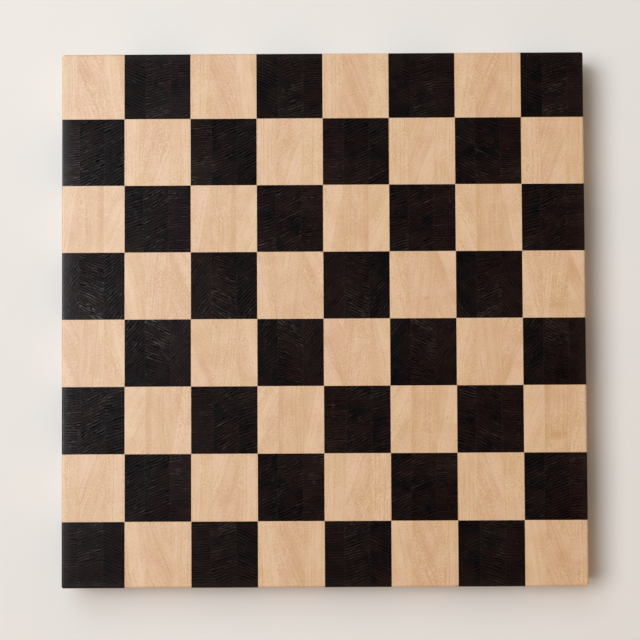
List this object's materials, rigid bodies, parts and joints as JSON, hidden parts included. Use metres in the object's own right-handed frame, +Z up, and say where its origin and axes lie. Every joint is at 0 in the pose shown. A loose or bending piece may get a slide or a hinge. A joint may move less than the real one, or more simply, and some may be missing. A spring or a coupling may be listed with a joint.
{
  "type": "chessboard",
  "caption": "Flat borderless end-grain chessboard, glued up from upright staves of dark and light wood, raised on small screwed-on rubber feet.",
  "frame": {"origin": "middle of the board, on the surface that its feet stand on", "axes": "+X from file a to file h, +Y from rank 1 to rank 8, +Z up out of the playing surface"},
  "size_m": [0.3966, 0.4044, 0.0344],
  "materials": {
    "dark_wood": "satin oiled end grain, near black brown",
    "light_wood": "satin oiled end grain, pale pinkish tan",
    "foot_rubber": "matt moulded",
    "fixing_steel": "plain zinc plated"
  },
  "bodies": {
    "root": {"file_a_dark_left_staves": "dark_wood", "file_a_dark_middle_staves": "dark_wood", "file_a_dark_right_staves": "dark_wood", "file_a_light_left_staves": "light_wood", "file_a_light_middle_staves": "light_wood", "file_a_light_right_staves": "light_wood", "file_b_dark_left_staves": "dark_wood", "file_b_dark_middle_staves": "dark_wood", "file_b_dark_right_staves": "dark_wood", "file_b_light_left_staves": "light_wood", "file_b_light_middle_staves": "light_wood", "file_b_light_right_staves": "light_wood", "file_c_dark_left_staves": "dark_wood", "file_c_dark_middle_staves": "dark_wood", "file_c_dark_right_staves": "dark_wood", "file_c_light_left_staves": "light_wood", "file_c_light_middle_staves": "light_wood", "file_c_light_right_staves": "light_wood", "file_d_dark_left_staves": "dark_wood", "file_d_dark_middle_staves": "dark_wood", "file_d_dark_right_staves": "dark_wood", "file_d_light_left_staves": "light_wood", "file_d_light_middle_staves": "light_wood", "file_d_light_right_staves": "light_wood", "file_e_dark_left_staves": "dark_wood", "file_e_dark_middle_staves": "dark_wood", "file_e_dark_right_staves": "dark_wood", "file_e_light_left_staves": "light_wood", "file_e_light_middle_staves": "light_wood", "file_e_light_right_staves": "light_wood", "file_f_dark_left_staves": "dark_wood", "file_f_dark_middle_staves": "dark_wood", "file_f_dark_right_staves": "dark_wood", "file_f_light_left_staves": "light_wood", "file_f_light_middle_staves": "light_wood", "file_f_light_right_staves": "light_wood", "file_g_dark_left_staves": "dark_wood", "file_g_dark_middle_staves": "dark_wood", "file_g_dark_right_staves": "dark_wood", "file_g_light_left_staves": "light_wood", "file_g_light_middle_staves": "light_wood", "file_g_light_right_staves": "light_wood", "file_h_dark_left_staves": "dark_wood", "file_h_dark_middle_staves": "dark_wood", "file_h_dark_right_staves": "dark_wood", "file_h_light_left_staves": "light_wood", "file_h_light_middle_staves": "light_wood", "file_h_light_right_staves": "light_wood", "foot_front_left": "foot_rubber", "foot_front_right": "foot_rubber", "foot_back_left": "foot_rubber", "foot_back_right": "foot_rubber", "foot_washers": "fixing_steel", "foot_screws": "fixing_steel"}
  },
  "joints": []
}
